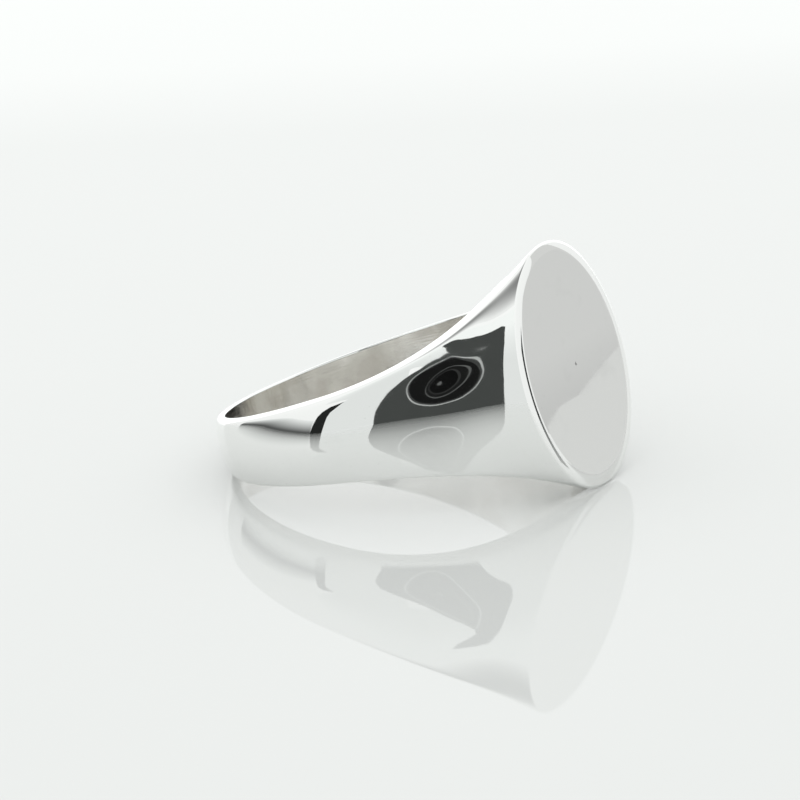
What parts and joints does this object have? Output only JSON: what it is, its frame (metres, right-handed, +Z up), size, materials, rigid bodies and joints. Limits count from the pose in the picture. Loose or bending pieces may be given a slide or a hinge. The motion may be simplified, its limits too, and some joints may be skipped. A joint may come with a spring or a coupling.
{
  "type": "signet ring",
  "caption": "Gentleman's signet ring in polished white metal with a plain oval table, built from shank, shoulders, head block and face plate, lying on its side.",
  "frame": {"origin": "middle of the ring's bounding box, on the surface that the ring lies on", "axes": "+Z up from the bench, +X from the back of the band towards the table. The finger's axis leans back from +Z by the ring's resting angle, and XZ is the ring's plane of symmetry"},
  "size_m": [0.0222, 0.0216, 0.0131],
  "materials": {
    "polished_silver": "mirror polished white precious metal, satin inside the bore",
    "silver_solder": "polished flush with the metal beside it"
  },
  "bodies": {
    "root": {"face_plate": "polished_silver", "face_plate_solder": "silver_solder", "head_block": "polished_silver", "head_solder": "silver_solder", "left_shoulder": "polished_silver", "right_shoulder": "polished_silver", "shank_solder": "silver_solder", "shank": "polished_silver"}
  },
  "joints": []
}
